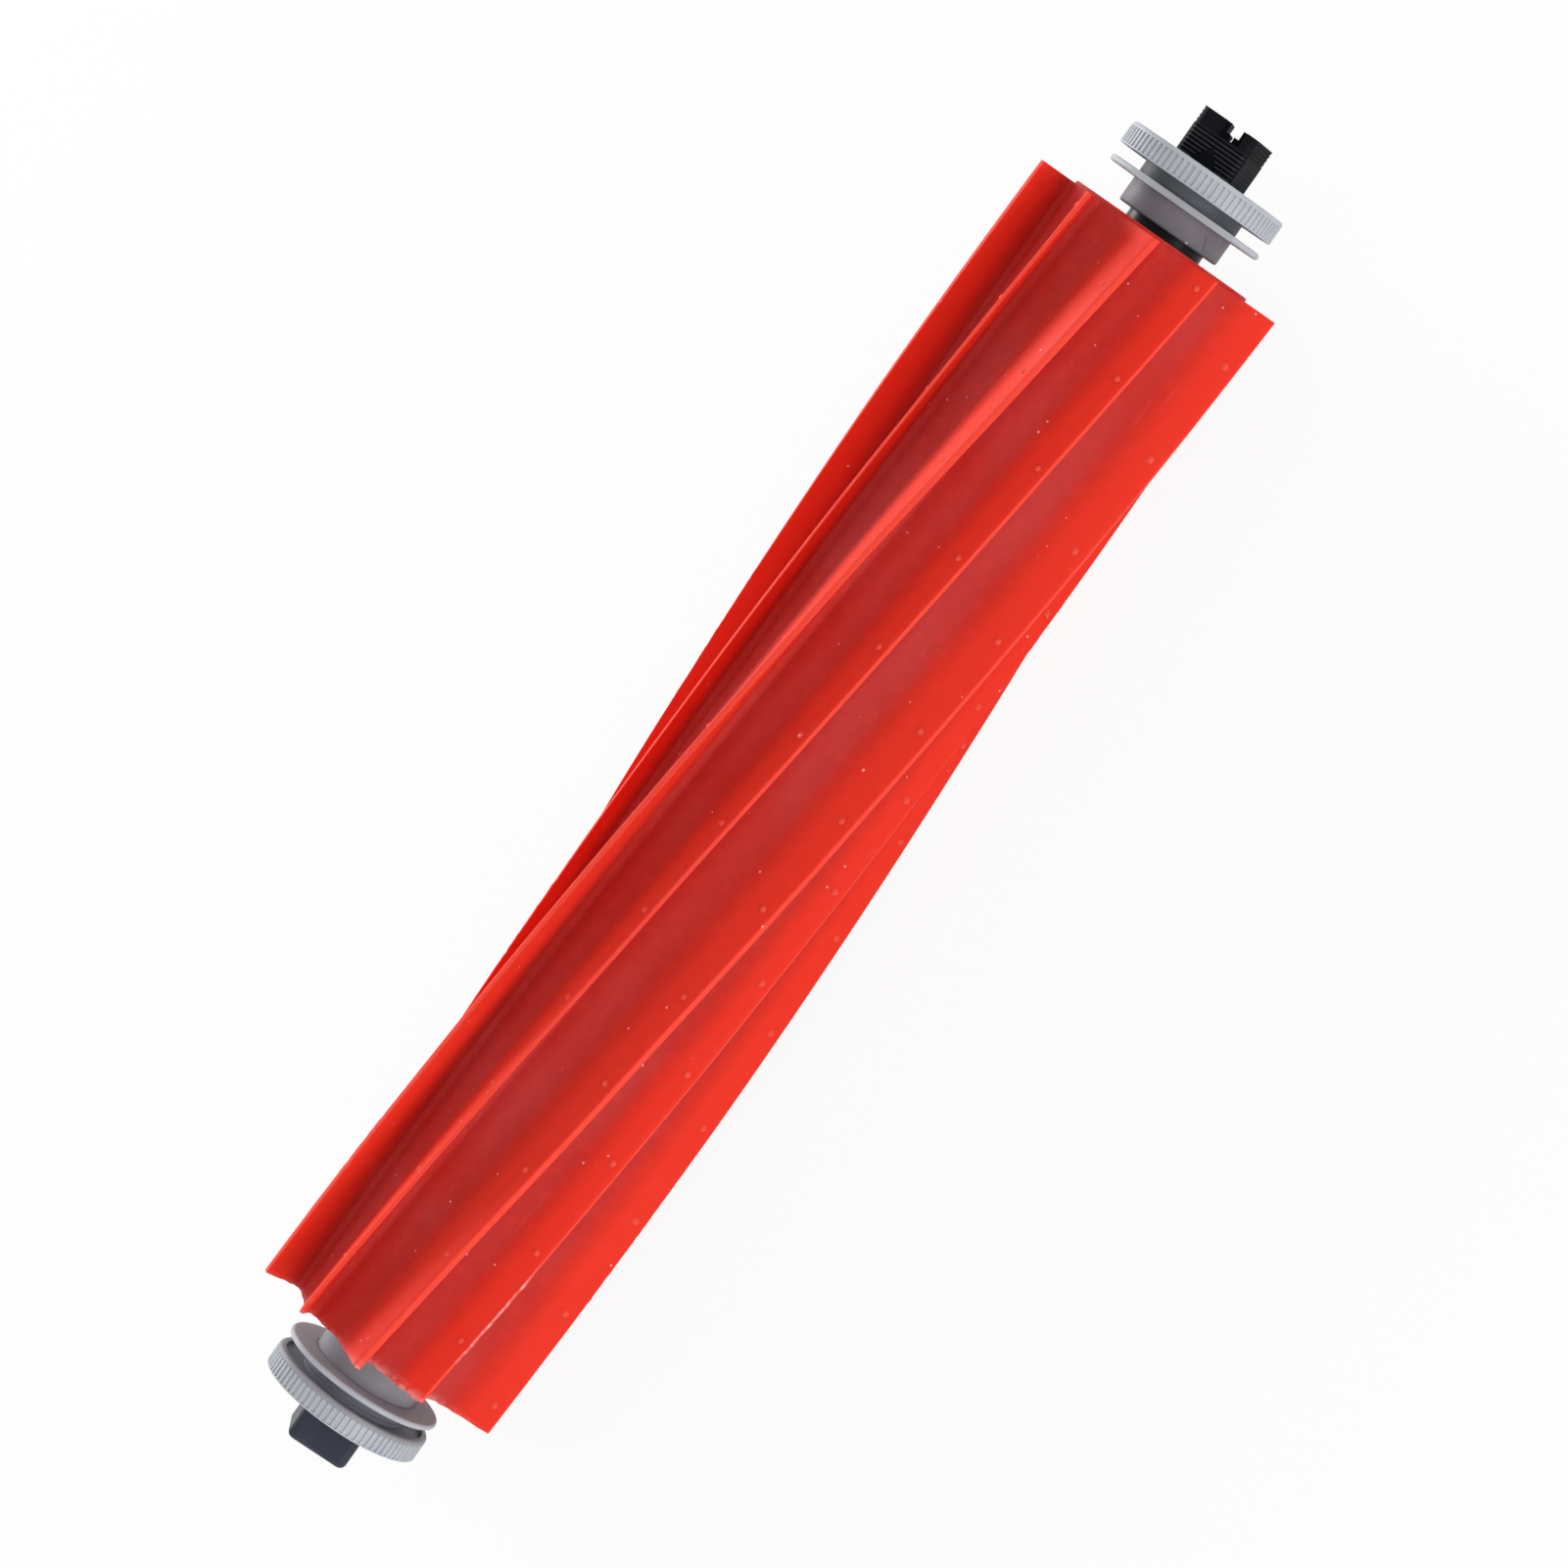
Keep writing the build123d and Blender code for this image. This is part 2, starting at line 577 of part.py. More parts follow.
# Bearings, seals and clips at both ends
for end, place in (("drive", placed_at_drive), ("idle", mirrored_to_idle)):
    write(f"{end}_bearing_inner_ring", place(inner_ring()))
    write(f"{end}_bearing_outer_ring", place(outer_ring()))
    write(f"{end}_bearing_roller_side_shield", place(shield(BEARING_START + SHIELD_INSET)))
    write(f"{end}_bearing_outer_side_shield", place(shield(BEARING_END - SHIELD_INSET - SHIELD_THICKNESS)))
    write(f"{end}_ball_cage", place(ball_cage()))
    write(f"{end}_bearing_balls", [place(ball) for ball in balls()])
    write(f"{end}_hair_seal", place(hair_seal()))
    write(f"{end}_bearing_clip", place(bearing_clip()))
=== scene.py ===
import json

import bpy
import numpy as np
from mathutils import Matrix, Vector
from mathutils.geometry import tessellate_polygon

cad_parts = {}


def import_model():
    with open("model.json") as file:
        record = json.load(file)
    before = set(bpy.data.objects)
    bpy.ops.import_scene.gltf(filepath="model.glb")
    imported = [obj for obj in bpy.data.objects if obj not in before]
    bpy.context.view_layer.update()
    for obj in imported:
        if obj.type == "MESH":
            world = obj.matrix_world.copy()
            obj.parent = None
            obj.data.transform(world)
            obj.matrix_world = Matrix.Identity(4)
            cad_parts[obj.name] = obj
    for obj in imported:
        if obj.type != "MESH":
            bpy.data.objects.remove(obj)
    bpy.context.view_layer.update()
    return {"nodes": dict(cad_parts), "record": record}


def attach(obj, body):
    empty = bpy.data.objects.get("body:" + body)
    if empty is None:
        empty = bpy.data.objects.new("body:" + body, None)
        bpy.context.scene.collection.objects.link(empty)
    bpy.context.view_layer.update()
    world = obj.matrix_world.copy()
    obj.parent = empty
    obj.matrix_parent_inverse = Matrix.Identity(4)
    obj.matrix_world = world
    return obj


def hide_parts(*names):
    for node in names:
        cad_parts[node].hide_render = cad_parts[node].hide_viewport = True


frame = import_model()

MM = 0.001

# Sleeve
SLEEVE_START = -78.425
FIN_END = 77.325
SLEEVE_END = 77.725
SLEEVE_BORE = 10.0
VALLEY = 11.8
TALL_RADIUS = 16.9
SHORT_RADIUS = 14.85
FIN_PAIRS = 5
TALL_ANGLE = 90.1
SHORT_LEAD = 33.2
TWIST_RATE = 75.0 / 156.15
TWIST_MIDDLE = (SLEEVE_START + SLEEVE_END) / 2
ROOT_FILLET = 0.7
FILLET_ANGLE = 3.5
TIP_ROUND = 0.05
RINGS = 262
BORE_STEPS = 96
SHARP_ANGLE = 42

# Unevenness of the fins' tips: sway in degrees, and swell, ragged lip, and what keeps the
# tips inside the part's real size in mm
TIP_SWAY = 0.35
TIP_SWELL = 0.04
TIP_RAGGED = 0.02
TIP_MARGIN = 0.06

# Each kind of fin: tip radius, width of its tip and fall across it, lean of its steep
# side, width and power of its ramp, and where its row of moulded nubs starts
TALL = dict(radius=TALL_RADIUS, tip=0.8, fall=0.2, lean=8.0, ramp=27.5, power=2.2, nubs=-48.9)
SHORT = dict(radius=SHORT_RADIUS, tip=0.5, fall=0.12, lean=5.0, ramp=23.0, power=1.9, nubs=-56.8)

# Moulded nubs
NUB_PITCH = 13.22
NUB_RADIUS = 0.48
NUB_HEIGHT = 0.27
NUB_SINK = 0.06
NUB_ANGLE = 3.2
NUB_STEPS = 12
NUB_RINGS = (1.0, 0.86, 0.66, 0.4)

# Ragged flash along a stretch of one short fin's tip
FLASH_FIN = 3
FLASH_MIDDLE = -65.5
FLASH_REACH = 6.5
FLASH_HEIGHT = 0.22

# Ridges of the drive peg, the way its ridged face looks about the axis, and its smooth arrow
RIDGE_START = 86.725
RIDGE_PITCH = 0.50625
RIDGE_COUNT = 8
PEG_ANGLE = 111.2
PEG_FACE = 3.35
ARROW_RIDGES = 6.2
ARROW_HALF_WIDTH = 1.8

# Where the spools' hubs, flanges, wheels and recessed faces end, for the painted shade
FLANGE_OUT = 82.3
WHEEL_OUT = 84.3
RECESS_OUT = 85.3
HUB_EDGE = 6.85
RECESS_EDGE = 9.40

# Floor and camera
FLOOR = -16.75
CAMERA_PLACE = (74.83, -410.03, 508.96)
CAMERA_FORWARD = (-0.11049, 0.62302, -0.77436)
CAMERA_UP = (0.81330, 0.50450, 0.28986)
LENS = 131.55

# Strength of the world's light at the horizon and from above
WORLD_LOW = 1.2
WORLD_HIGH = 0.62


def smooth_noise(length, waves, rng):
    """A smooth random line of values near -1 to 1: a sum of sines with random phases."""
    t = np.linspace(0, 1, length)
    total = np.zeros(length)
    for wave in range(1, waves + 1):
        total += np.sin(2 * np.pi * wave * t + rng.uniform(0, 2 * np.pi)) / wave ** 0.7
    return total / np.abs(total).max()


def fin_curve(kind, tip_angle, last_root):
    """One fin's outline as (radius, angle, share of height, crest), from the last fin's root.
    Ramp: radius = valley + height * t ** power, with t from 0 at its foot to 1 at the tip.
    Tip: a narrow strip that falls a little. Steep side: straight to the root, then a fillet."""
    height = kind["radius"] - VALLEY
    half_tip = np.degrees(kind["tip"] / 2 / kind["radius"])
    foot = tip_angle - half_tip - kind["ramp"]
    floor = np.linspace(last_root + FILLET_ANGLE, foot, 5)[:-1]
    rows = [(VALLEY, angle, 0.0, 0.0) for angle in floor]
    for t in 1 - np.linspace(1, 0, 15)[:-1] ** 1.5:
        rise = height * (t ** kind["power"]) - TIP_ROUND * t ** 12
        rows.append((VALLEY + rise, foot + kind["ramp"] * t, t ** kind["power"], 0.0))
    for step in (-1.0, -0.8, -0.3, 0.3, 0.8, 1.0):
        drop = TIP_ROUND if abs(step) == 1.0 else 0.0
        fall = kind["fall"] * ((step + 1) / 2) ** 1.4
        radius = kind["radius"] - drop - fall
        rows.append((radius, tip_angle + step * half_tip, 1.0, float(abs(step) < 1)))
    root = tip_angle - kind["lean"]
    root_radius = VALLEY + ROOT_FILLET
    top_radius = kind["radius"] - TIP_ROUND - kind["fall"]
    a = np.radians(tip_angle + half_tip)
    b = np.radians(root)
    top = np.array([np.cos(a), np.sin(a)]) * top_radius
    low = np.array([np.cos(b), np.sin(b)]) * root_radius
    for t in (0.2, 0.4, 0.6, 0.8, 0.93):
        y, z = top + (low - top) * t
        rows.append((np.hypot(y, z), np.degrees(np.arctan2(z, y)), 1 - t, 0.0))
    for t in (0.0, 0.2, 0.42, 0.7):
        lift = ROOT_FILLET * (1 - t) ** 2.4
        rows.append((VALLEY + lift, root + FILLET_ANGLE * t, 0.1 * (1 - t), 0.0))
    return rows, root


def sleeve_section():
    """The whole outline: arrays of radius, angle, share of height, crest and fin number."""
    rows = []
    numbers = []
    pitch = 360 / FIN_PAIRS
    root = TALL_ANGLE + SHORT_LEAD - pitch - SHORT["lean"]
    for pair in range(FIN_PAIRS):
        for kind, lead in ((TALL, 0.0), (SHORT, SHORT_LEAD)):
            tip_angle = TALL_ANGLE + pair * pitch + lead
            fin, root = fin_curve(kind, tip_angle, root)
            rows += fin
            numbers += [2 * pair + (lead > 0)] * len(fin)
    radius, angle, share, crest = np.array(rows).T
    angle = np.degrees(np.unwrap(np.radians(angle)))
    return radius, angle, share, crest, np.array(numbers)


def sleeve_points(section, stations):
    """Surface S(u, x): the outline's point u, turned by the twist at x, with a slow sway of
    each fin's tip, a ragged lip on some tips and flash on one. Returns the points of every
    station, and how torn each one is."""
    radius, angle, share, crest, number = section
    rng = np.random.default_rng(11)
    count = len(stations)
    points = np.zeros((count, len(radius), 3))
    fins = range(2 * FIN_PAIRS)
    sway = np.array([smooth_noise(count, 5, rng) for _ in fins]) * TIP_SWAY
    swell = np.array([smooth_noise(count, 7, rng) for _ in fins]) * TIP_SWELL
    ragged = np.zeros((len(fins), count))
    for fin in fins:
        low = rng.uniform(SLEEVE_START + 2, FIN_END - 45)
        window = np.exp(-(((stations - low - 12) / 9) ** 4))
        ragged[fin] = window * rng.normal(0, TIP_RAGGED, count)
    tip = np.clip((share - 0.93) / 0.07, 0, 1)
    turn = angle[None, :] + TWIST_RATE * (stations[:, None] - TWIST_MIDDLE)
    turn = turn + sway[number].T * share[None, :] ** 1.5
    reach = radius[None, :] - TIP_MARGIN * tip[None, :]
    reach = reach + (swell[number].T + ragged[number].T) * tip[None, :]
    reach = np.minimum(reach, np.where(share > 0.9, radius, np.inf)[None, :])
    flash = np.exp(-(((stations - FLASH_MIDDLE) / FLASH_REACH) ** 6))
    flash = flash * rng.uniform(0.1, 1, count)
    torn = flash[:, None] * ((number == FLASH_FIN) & (crest > 0))[None, :]
    reach = reach + FLASH_HEIGHT * torn
    points[:, :, 0] = stations[:, None]
    points[:, :, 1] = reach * np.cos(np.radians(turn))
    points[:, :, 2] = np.maximum(reach * np.sin(np.radians(turn)), FLOOR)
    return points, torn


def grid_faces(rows, columns, start=0):
    """Quads of a grid that is closed across its columns."""
    r = np.arange(rows - 1)[:, None] * columns
    c = np.arange(columns)[None, :]
    after = (c + 1) % columns
    quads = np.stack([r + c, r + columns + c, r + columns + after, r + after], -1)
    return quads.reshape(-1, 4) + start


def make_object(name, points, faces, body, smooth=True):
    """A mesh object from points in mm, riding on a body."""
    mesh = bpy.data.meshes.new(name)
    mesh.from_pydata((np.asarray(points) * MM).tolist(), [], [list(map(int, f)) for f in faces])
    mesh.validate()
    mesh.polygons.foreach_set("use_smooth", [smooth] * len(mesh.polygons))
    mesh.update()
    piece = bpy.data.objects.new(name, mesh)
    bpy.context.scene.collection.objects.link(piece)
    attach(piece, body)
    return piece


def nub(centre, normal, along):
    """A low dome with a closed foot, sunk a little into the ramp:
    height = NUB_HEIGHT * (1 - t^2)^1.2, at distance t * NUB_RADIUS from its middle."""
    side = np.cross(normal, along)
    points = []
    for t in NUB_RINGS:
        lift = NUB_HEIGHT * (1 - t * t) ** 1.2 - NUB_SINK
        for step in range(NUB_STEPS):
            a = step * 2 * np.pi / NUB_STEPS
            offset = t * NUB_RADIUS * (np.cos(a) * along + np.sin(a) * side)
            points.append(centre + offset + lift * normal)
    points.append(centre + (NUB_HEIGHT - NUB_SINK) * normal)
    faces = grid_faces(len(NUB_RINGS), NUB_STEPS).tolist()
    top = len(points) - 1
    last = top - NUB_STEPS
    for step in range(NUB_STEPS):
        faces.append([last + step, top, last + (step + 1) % NUB_STEPS])
    faces.append(list(range(NUB_STEPS)))
    return points, [f[::-1] for f in faces]


def nub_rows():
    """The rows of nubs on the ramps, just below each fin's tip."""
    points = []
    faces = []
    rng = np.random.default_rng(5)
    for fin in range(2 * FIN_PAIRS):
        kind = SHORT if fin % 2 else TALL
        height = kind["radius"] - VALLEY
        half_tip = np.degrees(kind["tip"] / 2 / kind["radius"])
        tip_angle = TALL_ANGLE + (fin // 2) * 360 / FIN_PAIRS + (fin % 2) * SHORT_LEAD
        t = 1 - (NUB_ANGLE * 16 / kind["radius"]) / kind["ramp"]
        radius = VALLEY + height * t ** kind["power"]
        slope = height * kind["power"] * t ** (kind["power"] - 1) / np.radians(kind["ramp"])
        start = kind["nubs"] - NUB_PITCH * 3
        for x in np.arange(start, FIN_END - 1.0, NUB_PITCH):
            if x < SLEEVE_START + 2.0:
                continue
            a = tip_angle - half_tip - kind["ramp"] * (1 - t) + TWIST_RATE * (x - TWIST_MIDDLE)
            a = np.radians(a)
            out = np.array([0, np.cos(a), np.sin(a)])
            around = np.array([0, -np.sin(a), np.cos(a)])
            normal = out * radius - around * slope
            normal /= np.linalg.norm(normal)
            along = np.array([1.0, 0, 0])
            along -= normal * along.dot(normal)
            along /= np.linalg.norm(along)
            centre = np.array([x + rng.normal(0, 0.05), 0, 0]) + out * radius
            dome, skin = nub(centre, normal, along)
            base = len(points)
            points += dome
            faces += [[i + base for i in f] for f in skin]
    return points, faces


def tube_lip(turn):
    """The end of the tube under the fins, a turned ring that stands a little past them."""
    inside = FIN_END - 0.3
    wall = VALLEY - 0.06
    bore = SLEEVE_BORE + 0.05
    profile = [
        (inside, wall),
        (SLEEVE_END - 0.12, wall),
        (SLEEVE_END - 0.03, wall - 0.04),
        (SLEEVE_END, wall - 0.14),
        (SLEEVE_END, bore),
        (inside, bore),
        (inside, wall),
    ]
    points = [(x, r * np.cos(a), r * np.sin(a)) for x, r in profile[:-1] for a in turn]
    faces = grid_faces(len(profile), len(turn)) % len(points)
    return points, [f[::-1] for f in faces.tolist()]


def rubber_sleeve():
    """The finned sleeve with its nubs, bore, end faces and the tube's lip at the drive end.
    The idle end is cut raggedly."""
    section = sleeve_section()
    stations = np.linspace(SLEEVE_START, FIN_END, RINGS)
    points, torn = sleeve_points(section, stations)
    rng = np.random.default_rng(23)
    columns = points.shape[1]
    clump = np.clip(1.6 * smooth_noise(columns, 26, rng), 0, 1)
    fray = rng.uniform(-0.07, 0.07, columns) - clump * rng.uniform(0.05, 0.26, columns)
    points[0, :, 0] += fray
    torn[0] = np.maximum(torn[0], 0.2 + 0.8 * clump)
    torn[1] = np.maximum(torn[1], 0.25 * clump)
    outer = points.reshape(-1, 3)
    faces = [f[::-1] for f in grid_faces(RINGS, columns).tolist()]
    turn = np.linspace(0, 2 * np.pi, BORE_STEPS, endpoint=False)
    bore = []
    for x in (SLEEVE_START, FIN_END):
        for a in turn:
            bore.append((x, SLEEVE_BORE * np.cos(a), SLEEVE_BORE * np.sin(a)))
    first = len(outer)
    everything = np.vstack([outer, bore])
    faces += grid_faces(2, BORE_STEPS, first).tolist()
    for row, start in ((0, first), (RINGS - 1, first + BORE_STEPS)):
        rim = list(range(row * columns, (row + 1) * columns))
        hole = list(range(start, start + BORE_STEPS))
        flat = [[Vector((*everything[i][1:], 0)) for i in loop] for loop in (rim, hole)]
        joined = rim + hole
        for tri in tessellate_polygon(flat):
            corners = [joined[i] for i in tri]
            p = everything[corners]
            way = np.cross(p[1] - p[0], p[2] - p[0])[0]
            if (way > 0) != (row > 0):
                corners.reverse()
            faces.append(corners)
    lip_points, lip_faces = tube_lip(turn)
    faces += [[i + len(everything) for i in f] for f in lip_faces]
    everything = np.vstack([everything, lip_points])
    dome_points, dome_faces = nub_rows()
    base = len(everything)
    everything = np.vstack([everything, dome_points])
    faces += [[i + base for i in f] for f in dome_faces]
    piece = make_object("red_finned_sleeve", everything, faces, "roller")
    on_fins = {"height_share": np.tile(section[2], RINGS), "crest": np.tile(section[3], RINGS)}
    on_fins["torn"] = torn.ravel()
    on_nubs = {"height_share": 0.8, "nubs": 1.0}
    for label in ("height_share", "crest", "torn", "nubs"):
        values = np.zeros(len(everything))
        values[:first] = on_fins.get(label, 0.0)
        values[base:] = on_nubs.get(label, 0.0)
        layer = piece.data.attributes.new(label, "FLOAT", "POINT")
        layer.data.foreach_set("value", values)
    piece.data.set_sharp_from_angle(angle=np.radians(SHARP_ANGLE))
    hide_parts("rubber_sleeve")
    return piece


sleeve = rubber_sleeve()


# Shader groups: each gives only colours, masks, values or a normal
def new_group(name, inputs, output):
    """A group with its inputs as (name, kind, value), one output as (name, kind), and ends."""
    group = bpy.data.node_groups.new(name, "ShaderNodeTree")
    for label, kind, value in inputs:
        socket = group.interface.new_socket(label, in_out="INPUT", socket_type=kind)
        socket.default_value = value
    label, kind = output
    group.interface.new_socket(label, in_out="OUTPUT", socket_type=kind)
    return group, group.nodes.new("NodeGroupInput"), group.nodes.new("NodeGroupOutput")


def put(tree, kind, values=None, **settings):
    """A node with its properties and the values of its sockets, or links to them."""
    node = tree.nodes.new(kind)
    for key, value in settings.items():
        setattr(node, key, value)
    for key, value in (values or {}).items():
        socket = node.inputs[key]
        if isinstance(value, bpy.types.NodeSocket):
            tree.links.new(value, socket)
        else:
            socket.default_value = value
    return node


def ramp(tree, value, low, high, start=0.0, end=1.0):
    """A value mapped from low..high to start..end, held at both ends."""
    node = put(tree, "ShaderNodeMapRange", {0: value, 1: low, 2: high, 3: start, 4: end})
    node.interpolation_type = "SMOOTHSTEP"
    return node.outputs[0]


def mix(tree, factor, first, second):
    """The first colour, turned into the second by the factor."""
    values = {0: factor, 6: first, 7: second}
    return put(tree, "ShaderNodeMix", values, data_type="RGBA").outputs[2]


def calc(tree, operation, first, second=0.0):
    """A sum, product or the like of two values."""
    return put(tree, "ShaderNodeMath", {0: first, 1: second}, operation=operation).outputs[0]


def times(tree, first, second):
    """The product of two values."""
    return calc(tree, "MULTIPLY", first, second)


def object_coords(tree):
    """The piece's own coordinates in metres."""
    return put(tree, "ShaderNodeTexCoord").outputs["Object"]


def noise(tree, coords, scale, detail):
    """A noise of values from 0 to 1."""
    values = {"Vector": coords, "Scale": scale, "Detail": detail}
    return put(tree, "ShaderNodeTexNoise", values).outputs[0]


def around_axis(tree, coords):
    """The three coordinates, and the distance from the brush's axis."""
    xyz = put(tree, "ShaderNodeSeparateXYZ", {0: coords}).outputs
    flat = put(tree, "ShaderNodeCombineXYZ", {1: xyz[1], 2: xyz[2]}).outputs[0]
    length = put(tree, "ShaderNodeVectorMath", {0: flat}, operation="LENGTH")
    return xyz, length.outputs["Value"]


def dust_group():
    """Dust: a mask of small light specks, few and uneven."""
    group, source, sink = new_group(
        "dust_specks",
        [("Density", "NodeSocketFloat", 0.3), ("Scale", "NodeSocketFloat", 900.0)],
        ("Mask", "NodeSocketFloat"),
    )
    coords = object_coords(group)
    cells = put(group, "ShaderNodeTexVoronoi", {"Vector": coords, "Scale": source.outputs["Scale"]})
    size = put(group, "ShaderNodeSeparateColor", {0: cells.outputs["Color"]})
    chosen = calc(group, "LESS_THAN", size.outputs[0], source.outputs["Density"])
    reach = times(group, size.outputs[1], 0.22)
    speck = calc(group, "LESS_THAN", cells.outputs["Distance"], reach)
    group.links.new(times(group, chosen, speck), sink.inputs[0])
    return group


def scratch_group():
    """Scratches: a mask of short fine lines, thinned by a slow noise."""
    group, source, sink = new_group(
        "fine_scratches",
        [("Scale", "NodeSocketFloat", 160.0), ("Amount", "NodeSocketFloat", 0.5)],
        ("Mask", "NodeSocketFloat"),
    )
    coords = object_coords(group)
    lines = []
    for turn, stretch in ((0.5, 14.0), (2.0, 11.0)):
        way = {"Rotation": (turn, turn * 0.7, turn * 1.3), "Scale": (1.0, stretch, 1.0)}
        turned = put(group, "ShaderNodeMapping", {"Vector": coords, **way}).outputs[0]
        drawn = noise(group, turned, source.outputs["Scale"], 1.0)
        lines.append(ramp(group, drawn, 0.70, 0.76))
    both = calc(group, "MAXIMUM", *lines)
    thin = ramp(group, noise(group, coords, 45.0, 2.0), 0.5, 0.68)
    mask = times(group, times(group, both, thin), source.outputs["Amount"])
    group.links.new(mask, sink.inputs[0])
    return group


def grain_group():
    """Moulded surface: a normal from two sizes of fine noise."""
    group, source, sink = new_group(
        "moulded_grain",
        [
            ("Scale", "NodeSocketFloat", 2500.0),
            ("Strength", "NodeSocketFloat", 0.1),
            ("Height", "NodeSocketFloat", 0.0),
        ],
        ("Normal", "NodeSocketVector"),
    )
    coords = object_coords(group)
    fine = noise(group, coords, source.outputs["Scale"], 3.0)
    slow = noise(group, coords, 120.0, 2.0)
    total = calc(group, "ADD", times(group, fine, 0.4), slow)
    total = calc(group, "ADD", total, source.outputs["Height"])
    values = {"Strength": source.outputs["Strength"], "Distance": 0.1 * MM, "Height": total}
    bump = put(group, "ShaderNodeBump", values)
    group.links.new(bump.outputs[0], sink.inputs[0])
    return group


DUST = dust_group()
SCRATCHES = scratch_group()
GRAIN = grain_group()


def new_material(name):
    """A new material, its node tree and its main shader."""
    material = bpy.data.materials.new(name)
    material.use_nodes = True
    tree = material.node_tree
    return material, tree, tree.nodes["Principled BSDF"]


def use_group(tree, group, **values):
    """The output of a group, with the values of its inputs."""
    return put(tree, "ShaderNodeGroup", values, node_tree=group).outputs[0]


def attribute(tree, name):
    """A value that the mesh holds at its points."""
    return put(tree, "ShaderNodeAttribute", attribute_name=name).outputs["Fac"]


def red_rubber():
    """Soft red rubber: painted shade darkening each fin down into the valleys, a painted highlight along
    each crest and on the nubs, greyish in the valleys, torn pale at the idle end's cut, with specks and
    scuffs all over."""
    material, tree, shader = new_material("red_rubber")
    coords = object_coords(tree)
    along = put(tree, "ShaderNodeSeparateXYZ", {0: coords}).outputs[0]
    cloud = noise(tree, coords, 60.0, 4.0)
    share = attribute(tree, "height_share")
    crest = attribute(tree, "crest")
    uneven = times(tree, calc(tree, "SUBTRACT", cloud, 0.5), 0.3)
    # Painted shade: the rubber darker down each fin toward the valleys, lighter up to its tip
    height = ramp(tree, calc(tree, "ADD", share, uneven), 0.0, 0.62)
    colour = mix(tree, height, (0.56, 0.026, 0.018, 1), (0.82, 0.038, 0.020, 1))
    fleck = ramp(tree, noise(tree, coords, 700.0, 2.0), 0.45, 0.75, 0.0, 0.16)
    colour = mix(tree, fleck, colour, (0.88, 0.055, 0.035, 1))
    # A greyish cast, uneven, low in the valleys
    low = ramp(tree, share, 0.0, 0.3, 1.0, 0.0)
    valley_grey = times(tree, low, ramp(tree, cloud, 0.35, 0.70, 0.04, 0.18))
    colour = mix(tree, valley_grey, colour, (0.42, 0.14, 0.16, 1))
    # Painted highlight: a paler strip along each fin's crest
    colour = mix(tree, times(tree, crest, 0.6), colour, (0.92, 0.095, 0.065, 1))
    edge = ramp(tree, along, (SLEEVE_START - 0.1) * MM, (SLEEVE_START + 0.6) * MM, 1.0, 0.0)
    shred = ramp(tree, noise(tree, coords, 1400.0, 3.0), 0.38, 0.58, 0.25, 1.0)
    torn = times(tree, attribute(tree, "torn"), 0.75)
    pale = calc(tree, "MAXIMUM", torn, times(tree, edge, 0.15))
    colour = mix(tree, times(tree, pale, shred), colour, (0.90, 0.52, 0.50, 1))
    # Painted highlight: the nubs lighter than the rubber around them
    nubs = attribute(tree, "nubs")
    colour = mix(tree, times(tree, nubs, 0.5), colour, (0.95, 0.13, 0.09, 1))
    specks = use_group(tree, DUST, Density=0.03, Scale=1300.0)
    colour = mix(tree, times(tree, specks, 0.8), colour, (0.95, 0.55, 0.50, 1))
    scuffs = use_group(tree, SCRATCHES, Scale=260.0, Amount=0.4)
    colour = mix(tree, times(tree, scuffs, 0.22), colour, (0.88, 0.22, 0.19, 1))
    tree.links.new(colour, shader.inputs["Base Color"])
    rough = ramp(tree, cloud, 0.3, 0.7, 0.52, 0.62)
    rough = calc(tree, "ADD", rough, times(tree, scuffs, 0.2))
    tree.links.new(rough, shader.inputs["Roughness"])
    lift = times(tree, specks, 0.6)
    normal = use_group(tree, GRAIN, Scale=2600.0, Strength=0.2, Height=lift)
    tree.links.new(normal, shader.inputs["Normal"])
    tree.links.new(ramp(tree, nubs, 0.0, 1.0, 0.3, 0.0), shader.inputs["Subsurface Weight"])
    shader.inputs["Subsurface Radius"].default_value = (1.0, 0.10, 0.05)
    shader.inputs["Subsurface Scale"].default_value = 1.0 * MM
    shader.inputs["Specular IOR Level"].default_value = 0.06
    return material


